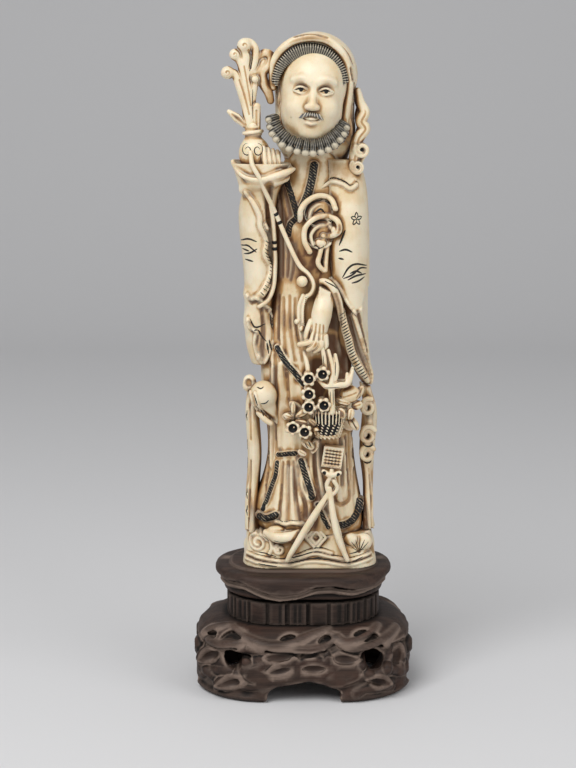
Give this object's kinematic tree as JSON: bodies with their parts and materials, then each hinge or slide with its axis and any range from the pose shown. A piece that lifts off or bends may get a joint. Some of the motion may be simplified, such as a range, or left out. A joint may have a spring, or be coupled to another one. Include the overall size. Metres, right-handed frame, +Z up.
{
  "type": "okimono carving",
  "caption": "Tall slender carved standing figure with a flower basket and a sprig, pegged to a tiered, pierced hardwood stand; a shelf ornament.",
  "frame": {"origin": "middle of the stand's footprint, on the table", "axes": "+Z up, the figure faces -Y, +X to the viewer's right"},
  "size_m": [0.1014, 0.076, 0.3003],
  "materials": {
    "carving": "ivory-coloured, polished, brown stain in the recesses",
    "dark_stain": "dark grey stained carving",
    "bone_pin": "plain",
    "hardwood": "dark carved hardwood, satin, worn edges",
    "dowel_wood": "plain turned wood"
  },
  "bodies": {
    "stand": {"stand_foot": "hardwood", "stand_waist": "hardwood", "stand_plate": "hardwood", "stand_dowel": "dowel_wood"},
    "figure": {"rock_base": "carving", "robe": "carving", "right_sleeve": "carving", "left_sleeve": "carving", "raised_hand": "carving", "lowered_hand": "carving", "head": "carving", "hair_cap": "dark_stain", "beard_collar": "dark_stain", "hood": "carving", "hood_scrolls": "carving", "fungus_sprig": "carving", "long_cord": "carving", "short_cord": "carving", "cord_ball": "carving", "chest_scroll": "carving", "sash": "carving", "right_scarf": "carving", "left_scarf": "carving", "fruit": "carving", "flower_basket": "carving", "basket_handle": "carving", "plaque": "carving", "streamers": "carving", "shoe": "carving", "pins": "bone_pin", "blossoms": "carving", "flower_leaves": "carving"}
  },
  "joints": [
    {"name": "figure_lift", "type": "slide", "parent": "stand", "child": "figure", "axis": [0, 0, 1], "range_m": [0, 0.03]}
  ]
}
